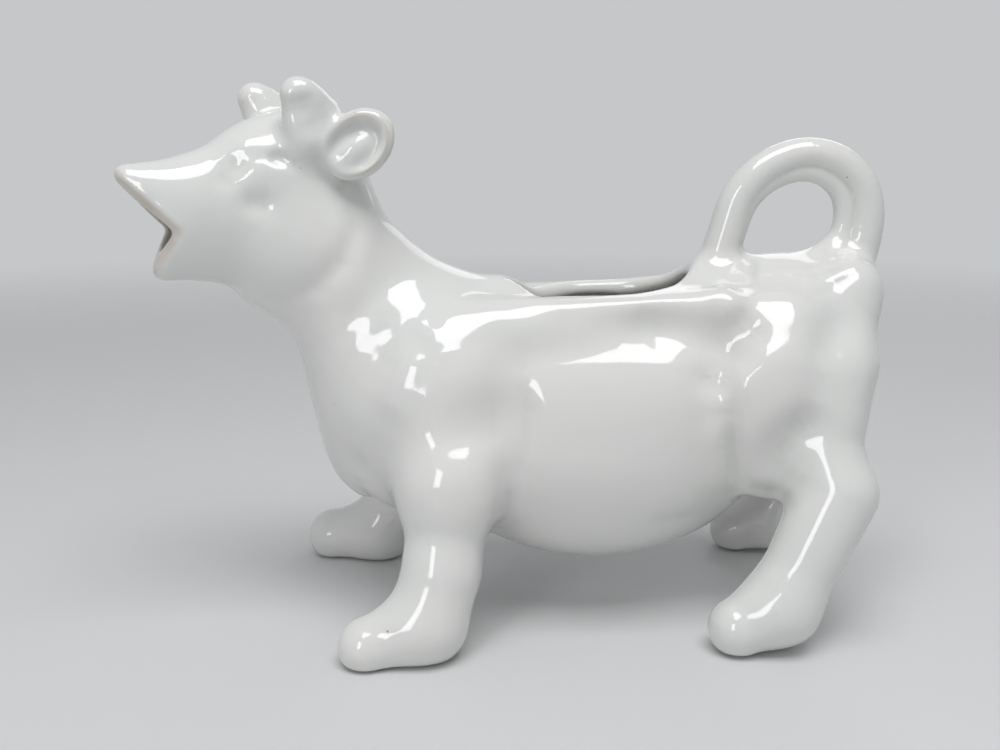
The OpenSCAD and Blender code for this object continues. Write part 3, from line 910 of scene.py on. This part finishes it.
def owners(points, faces):
    """The number of the piece that has each face: 0 is the body, and the limbs follow."""
    centres = np.ascontiguousarray(points[faces].mean(1).T, np.float32)
    skin, hollow = skin_and_hollow(centres)
    distances = [core(centres)] + [group(masses, centres) for masses, _ in LIMBS.values()]
    owner = np.stack(distances).argmin(0)
    owner[-hollow > skin] = 0
    for number in range(1, len(distances)):
        mine = owner == number
        owner[mine & ~main_patch(faces, mine)] = 0
    return owner


# The curvatures, per millimetre, between which the glaze turns thin on ridges and the hollows turn
# greyer, partly pooled glaze and partly painted shade, and the band beside the mouth, in millimetres,
# over which its beige edge, partly thin glaze and partly painted shade, ends
THIN_BEND = (0.22, 0.7)
POOL_AND_SHADE_BEND = (0.02, 0.4)
LIP_GLAZE_AND_SHADE_BAND = (0.8, 1.6)


def sculpt(material):
    """Meshes the cow and shares its skin out to one piece for each CAD node."""
    axes = [grid_axis(whole, fine) for whole, fine in GRID.values()]
    points, faces = surface_net(sample(cow, axes), axes)
    points, normals, bend = settle(points, faces)
    # Along the lips the beige edge is partly thin glaze and partly painted shade on the bevel
    lip_glaze_and_shade = 1 - soft_step(mouth(points.T.astype(np.float32)), *LIP_GLAZE_AND_SHADE_BAND)
    skin = {"points": points, "normals": normals,
            "thin_glaze_and_lip_shade": np.maximum(soft_step(bend, *THIN_BEND), lip_glaze_and_shade),
            # Greyer in hollows: partly pooled glaze, partly painted shade
            "pooled_glaze_and_shade": soft_step(-bend, *POOL_AND_SHADE_BEND)}
    owner = owners(points, faces)
    for number, name in enumerate(["body_shell", *LIMBS]):
        level = -CAP_DEPTH if number == 0 else CAP_DEPTH
        build_piece(name, skin, faces[owner == number], level, material)


def new_tree(thing):
    """The empty node tree of a new material or world."""
    thing.use_nodes = True
    thing.node_tree.nodes.clear()
    return thing.node_tree


def feed(tree, node, inputs):
    """Gives the node its inputs: a socket is linked, and a plain value is set."""
    for name, value in inputs.items():
        if isinstance(value, bpy.types.NodeSocket):
            tree.links.new(value, node.inputs[name])
        else:
            node.inputs[name].default_value = value
    return node


def add_node(tree, kind, inputs):
    return feed(tree, tree.nodes.new(kind), inputs)


def object_place(tree):
    """The place on the object, in metres."""
    return add_node(tree, "ShaderNodeTexCoord", {}).outputs["Object"]


# Where most of a noise's values lie
NOISE_LOW, NOISE_HIGH = 0.3, 0.7


def noise(tree, scale, detail, low, high):
    """Soft noise over the object, from low to high."""
    cloud = add_node(tree, "ShaderNodeTexNoise",
                     {"Vector": object_place(tree), "Scale": scale, "Detail": detail})
    span = {"Value": cloud.outputs["Fac"], "From Min": NOISE_LOW, "From Max": NOISE_HIGH,
            "To Min": low, "To Max": high}
    return add_node(tree, "ShaderNodeMapRange", span).outputs["Result"]


def attribute(tree, name):
    """A value that the mesh carries at its vertices."""
    node = tree.nodes.new("ShaderNodeAttribute")
    node.attribute_name = name
    return node.outputs["Fac"]


def times(tree, value, by):
    node = tree.nodes.new("ShaderNodeMath")
    node.operation = "MULTIPLY"
    return feed(tree, node, {0: value, 1: by}).outputs[0]


def tint(tree, base, colour, factor):
    """The base colour with a second colour mixed in."""
    node = tree.nodes.new("ShaderNodeMix")
    node.data_type = "RGBA"
    return feed(tree, node, {"Factor": factor, "A": base, "B": colour}).outputs["Result"]


# The glaze's colours
WHITE = (0.72, 0.72, 0.70, 1)
WHITE_SHADE = (0.68, 0.69, 0.675, 1)
# The grey of the hollows: partly pooled glaze, partly painted shade
POOLED_GLAZE_AND_SHADE = (0.52, 0.54, 0.52, 1)
# The beige of thin glaze, which along the lips is also painted shade
THIN_GLAZE_AND_LIP_SHADE = (0.50, 0.44, 0.36, 1)
IRON = (0.20, 0.15, 0.11, 1)


def specks(tree):
    """Tiny dots, of which a noise leaves most out."""
    cells = add_node(tree, "ShaderNodeTexVoronoi",
                     {"Vector": object_place(tree), "Scale": 130, "Randomness": 1})
    edge = {"Value": cells.outputs["Distance"], "From Min": 0.035, "From Max": 0.02}
    dots = add_node(tree, "ShaderNodeMapRange", edge).outputs["Result"]
    return times(tree, times(tree, dots, noise(tree, 300, 0, -1.2, 1.0)), 0.8)


def glaze_colour(tree):
    """White, greyer in hollows for pooled glaze and painted shade, beige where the glaze is thin
    and along the lips, where it is also painted shade, with a few iron specks.
    """
    # Painted shade in the hollows, together with the pooled glaze
    pooled_and_shade = times(tree, attribute(tree, "pooled_glaze_and_shade"), 0.38)
    # Beige of thin glaze on ridges; along the lips it is partly painted shade
    thin_and_lip_shade = times(tree, attribute(tree, "thin_glaze_and_lip_shade"), noise(tree, 160, 2, 0.4, 0.75))
    colour = tint(tree, WHITE, WHITE_SHADE, noise(tree, 28, 3, 0, 1))
    colour = tint(tree, colour, POOLED_GLAZE_AND_SHADE, pooled_and_shade)
    colour = tint(tree, colour, THIN_GLAZE_AND_LIP_SHADE, thin_and_lip_shade)
    return tint(tree, colour, IRON, specks(tree))


def glaze():
    """White porcelain under a clear glaze."""
    material = bpy.data.materials.new("white_glazed_porcelain")
    tree = new_tree(material)
    bump = add_node(tree, "ShaderNodeBump",
                    {"Height": noise(tree, 140, 1, 0, 1), "Strength": 0.25, "Distance": 0.0001})
    shader = add_node(tree, "ShaderNodeBsdfPrincipled", {
        "Base Color": glaze_colour(tree),
        "Roughness": noise(tree, 60, 2, 0.06, 0.11),
        "IOR": 1.52,
        "Coat Weight": 0.35,
        "Coat Roughness": 0.03,
        "Normal": bump.outputs["Normal"],
    })
    add_node(tree, "ShaderNodeOutputMaterial", {"Surface": shader.outputs[0]})
    return material


# The studio, in metres and watts
FLOOR_COLOUR = (0.66, 0.665, 0.67, 1)
FLOOR_R = 1.4
FLOOR_SIDES = 64
FLOOR_Z = -0.0002
# The floor is whole up to the first distance from the origin, and clear from the second on
FLOOR_FADE = (0.18, 1.0)
LIGHT_COLOUR = (0.97, 0.98, 1, 1)
LIGHT_STRENGTH = 0.33
BACKDROP_COLOUR = (0.56, 0.57, 0.58, 1)
# Each lamp: its place, what it aims at, its size and its power
LAMPS = {
    "key": ((0.02, -0.26, 0.70), (0, 0, 0.06), (0.54, 0.38), 3.3),
    "fill": ((-0.35, -0.62, 0.32), (0, 0, 0.05), (0.16, 0.34), 0.9),
    "back": ((0.3, 0.6, 0.5), (0, 0, 0.06), (0.5, 0.3), 0.45),
}


def floor_material():
    """A pale floor that fades out into the backdrop."""
    material = bpy.data.materials.new("pale_floor")
    tree = new_tree(material)
    length = tree.nodes.new("ShaderNodeVectorMath")
    length.operation = "LENGTH"
    feed(tree, length, {0: object_place(tree)})
    fade = tree.nodes.new("ShaderNodeMapRange")
    fade.interpolation_type = "SMOOTHSTEP"
    near_edge, far_edge = FLOOR_FADE
    feed(tree, fade, {"Value": length.outputs["Value"], "From Min": near_edge, "From Max": far_edge})
    pale = add_node(tree, "ShaderNodeBsdfPrincipled", {"Base Color": FLOOR_COLOUR, "Roughness": 0.55})
    clear = add_node(tree, "ShaderNodeBsdfTransparent", {})
    mixed = add_node(tree, "ShaderNodeMixShader",
                     {0: fade.outputs["Result"], 1: pale.outputs[0], 2: clear.outputs[0]})
    add_node(tree, "ShaderNodeOutputMaterial", {"Surface": mixed.outputs[0]})
    return material


def floor():
    """A round floor, a hair below the hooves."""
    angles = [2 * math.pi * i / FLOOR_SIDES for i in range(FLOOR_SIDES)]
    rim = [(FLOOR_R * math.cos(angle), FLOOR_R * math.sin(angle), FLOOR_Z) for angle in angles]
    mesh = bpy.data.meshes.new("floor")
    fan = [(0, 1 + i, 1 + (i + 1) % FLOOR_SIDES) for i in range(FLOOR_SIDES)]
    mesh.from_pydata([(0, 0, FLOOR_Z), *rim], [], fan)
    mesh.materials.append(floor_material())
    add_object("floor", mesh)


def surroundings():
    """Soft light from all round, and a pale backdrop for the camera and for reflections."""
    world = bpy.data.worlds.new("studio")
    bpy.context.scene.world = world
    tree = new_tree(world)
    light = add_node(tree, "ShaderNodeBackground", {"Color": LIGHT_COLOUR, "Strength": LIGHT_STRENGTH})
    backdrop = add_node(tree, "ShaderNodeBackground", {"Color": BACKDROP_COLOUR, "Strength": 1})
    rays = add_node(tree, "ShaderNodeLightPath", {})
    shown = rays.outputs["Is Camera Ray"]
    for ray in ("Is Glossy Ray", "Is Transmission Ray"):
        total = tree.nodes.new("ShaderNodeMath")
        total.operation = "ADD"
        total.use_clamp = True
        shown = feed(tree, total, {0: shown, 1: rays.outputs[ray]}).outputs[0]
    mixed = add_node(tree, "ShaderNodeMixShader", {0: shown, 1: light.outputs[0], 2: backdrop.outputs[0]})
    add_node(tree, "ShaderNodeOutputWorld", {"Surface": mixed.outputs[0]})


def softbox(name, at, aim, size, watts):
    """A lamp with a rectangular face, aimed at a place."""
    data = bpy.data.lights.new(name, "AREA")
    data.shape = "RECTANGLE"
    data.size, data.size_y = size
    data.energy = watts
    way = np.array(aim, float) - np.array(at, float)
    yaw = math.atan2(way[1], way[0]) - math.pi / 2
    tilt = math.atan2(math.hypot(way[0], way[1]), -way[2])
    lamp = add_object(name, data)
    lamp.location = at
    lamp.rotation_euler = (tilt, 0, yaw)


def camera():
    """The camera at the photograph's angle."""
    data = bpy.data.cameras.new("photo_camera")
    data.sensor_fit = "HORIZONTAL"
    data.sensor_width = SENSOR_MM
    data.lens = FOCAL_PX / PHOTO_W * SENSOR_MM
    data.clip_start = 0.01
    view = add_object("photo_camera", data)
    view.location = to_frame(CAMERA_AT).tolist()
    view.rotation_euler = (math.radians(90 - CAMERA_PITCH), 0, math.radians(-CAMERA_YAW))
    bpy.context.scene.camera = view


bpy.context.scene.view_settings.view_transform = "Standard"
camera()
sculpt(glaze())
floor()
surroundings()
for lamp_name, lamp in LAMPS.items():
    softbox(lamp_name, *lamp)
